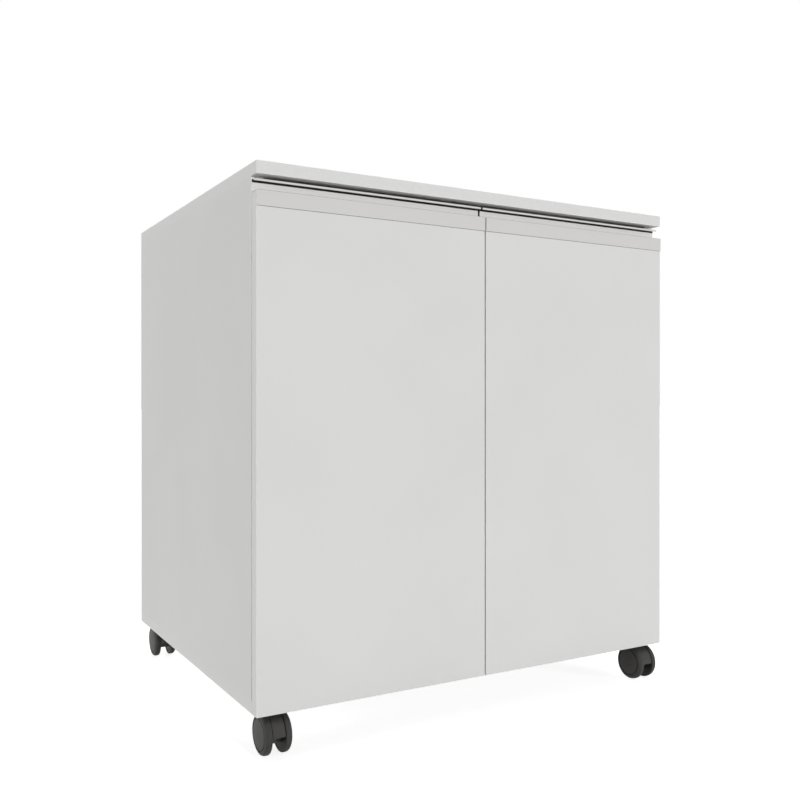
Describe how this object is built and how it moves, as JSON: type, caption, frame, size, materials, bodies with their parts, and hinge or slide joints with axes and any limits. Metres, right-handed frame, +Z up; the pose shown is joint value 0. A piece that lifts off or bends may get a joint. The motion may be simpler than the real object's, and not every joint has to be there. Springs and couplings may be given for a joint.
{
  "type": "mobile base cabinet",
  "caption": "Low white cabinet on twin-wheel swivel casters, with a pair of hinged overlay doors, a metal finger pull along their top edges and an adjustable shelf inside.",
  "frame": {"origin": "on the floor, under the middle of the whole object's box", "axes": "+Z up, +X to the right as seen from the front, +Y from the doors to the back"},
  "size_m": [0.63, 0.5214, 0.681],
  "materials": {
    "white_melamine": "white melamine-faced particle board, fine matt texture",
    "back_board": "white lacquered hardboard",
    "painted_profile": "light grey powder coat on extruded aluminium",
    "bright_aluminium": "bright anodised",
    "nickel_steel": "nickel plated",
    "zinc_steel": "zinc plated",
    "caster_plastic": "moulded dark grey nylon",
    "wheel_plastic": "moulded dark grey polypropylene"
  },
  "bodies": {
    "carcass": {"top_panel": "white_melamine", "bottom_panel": "white_melamine", "left_side_panel": "white_melamine", "right_side_panel": "white_melamine", "back_panel": "back_board", "shelf": "white_melamine", "front_left_shelf_pin": "nickel_steel", "front_right_shelf_pin": "nickel_steel", "back_left_shelf_pin": "nickel_steel", "back_right_shelf_pin": "nickel_steel", "lower_left_hinge_plate": "nickel_steel", "lower_left_hinge_arm": "nickel_steel", "upper_left_hinge_plate": "nickel_steel", "upper_left_hinge_arm": "nickel_steel", "lower_right_hinge_plate": "nickel_steel", "lower_right_hinge_arm": "nickel_steel", "upper_right_hinge_plate": "nickel_steel", "upper_right_hinge_arm": "nickel_steel", "front_left_caster_plate": "zinc_steel", "front_left_caster_kingpin": "zinc_steel", "front_right_caster_plate": "zinc_steel", "front_right_caster_kingpin": "zinc_steel", "back_left_caster_plate": "zinc_steel", "back_left_caster_kingpin": "zinc_steel", "back_right_caster_plate": "zinc_steel", "back_right_caster_kingpin": "zinc_steel"},
    "left_door": {"left_door_panel": "white_melamine", "left_pull_profile": "painted_profile", "left_pull_lip": "bright_aluminium", "lower_left_hinge_cup": "nickel_steel", "upper_left_hinge_cup": "nickel_steel"},
    "right_door": {"right_door_panel": "white_melamine", "right_pull_profile": "painted_profile", "right_pull_lip": "bright_aluminium", "lower_right_hinge_cup": "nickel_steel", "upper_right_hinge_cup": "nickel_steel"},
    "front_left_caster": {"front_left_caster_housing": "caster_plastic", "front_left_caster_axle": "zinc_steel"},
    "front_left_outer_wheel": {"front_left_outer_wheel": "wheel_plastic"},
    "front_left_inner_wheel": {"front_left_inner_wheel": "wheel_plastic"},
    "front_right_caster": {"front_right_caster_housing": "caster_plastic", "front_right_caster_axle": "zinc_steel"},
    "front_right_outer_wheel": {"front_right_outer_wheel": "wheel_plastic"},
    "front_right_inner_wheel": {"front_right_inner_wheel": "wheel_plastic"},
    "back_left_caster": {"back_left_caster_housing": "caster_plastic", "back_left_caster_axle": "zinc_steel"},
    "back_left_outer_wheel": {"back_left_outer_wheel": "wheel_plastic"},
    "back_left_inner_wheel": {"back_left_inner_wheel": "wheel_plastic"},
    "back_right_caster": {"back_right_caster_housing": "caster_plastic", "back_right_caster_axle": "zinc_steel"},
    "back_right_outer_wheel": {"back_right_outer_wheel": "wheel_plastic"},
    "back_right_inner_wheel": {"back_right_inner_wheel": "wheel_plastic"}
  },
  "joints": [
    {"name": "left_door_swing", "type": "hinge", "parent": "carcass", "child": "left_door", "pos_m": [-0.3135, -0.25125, 0.3493], "axis": [0, 0, -1], "range_deg": [0, 100]},
    {"name": "right_door_swing", "type": "hinge", "parent": "carcass", "child": "right_door", "pos_m": [0.3135, -0.25125, 0.3493], "axis": [0, 0, 1], "range_deg": [0, 100]},
    {"name": "front_left_caster_swivel", "type": "hinge", "parent": "carcass", "child": "front_left_caster", "pos_m": [-0.288, -0.21975, 0.0417], "axis": [0, 0, 1], "continuous": true},
    {"name": "front_left_outer_wheel_spin", "type": "hinge", "parent": "front_left_caster", "child": "front_left_outer_wheel", "pos_m": [-0.30115, -0.23675, 0.024], "axis": [1, 0, 0], "continuous": true},
    {"name": "front_left_inner_wheel_spin", "type": "hinge", "parent": "front_left_caster", "child": "front_left_inner_wheel", "pos_m": [-0.27485, -0.23675, 0.024], "axis": [1, 0, 0], "continuous": true},
    {"name": "front_right_caster_swivel", "type": "hinge", "parent": "carcass", "child": "front_right_caster", "pos_m": [0.288, -0.21975, 0.0417], "axis": [0, 0, 1], "continuous": true},
    {"name": "front_right_outer_wheel_spin", "type": "hinge", "parent": "front_right_caster", "child": "front_right_outer_wheel", "pos_m": [0.30115, -0.23675, 0.024], "axis": [1, 0, 0], "continuous": true},
    {"name": "front_right_inner_wheel_spin", "type": "hinge", "parent": "front_right_caster", "child": "front_right_inner_wheel", "pos_m": [0.27485, -0.23675, 0.024], "axis": [1, 0, 0], "continuous": true},
    {"name": "back_left_caster_swivel", "type": "hinge", "parent": "carcass", "child": "back_left_caster", "pos_m": [-0.288, 0.21525, 0.0417], "axis": [0, 0, 1], "continuous": true},
    {"name": "back_left_outer_wheel_spin", "type": "hinge", "parent": "back_left_caster", "child": "back_left_outer_wheel", "pos_m": [-0.30115, 0.23225, 0.024], "axis": [1, 0, 0], "continuous": true},
    {"name": "back_left_inner_wheel_spin", "type": "hinge", "parent": "back_left_caster", "child": "back_left_inner_wheel", "pos_m": [-0.27485, 0.23225, 0.024], "axis": [1, 0, 0], "continuous": true},
    {"name": "back_right_caster_swivel", "type": "hinge", "parent": "carcass", "child": "back_right_caster", "pos_m": [0.288, 0.21525, 0.0417], "axis": [0, 0, 1], "continuous": true},
    {"name": "back_right_outer_wheel_spin", "type": "hinge", "parent": "back_right_caster", "child": "back_right_outer_wheel", "pos_m": [0.30115, 0.23225, 0.024], "axis": [1, 0, 0], "continuous": true},
    {"name": "back_right_inner_wheel_spin", "type": "hinge", "parent": "back_right_caster", "child": "back_right_inner_wheel", "pos_m": [0.27485, 0.23225, 0.024], "axis": [1, 0, 0], "continuous": true}
  ]
}
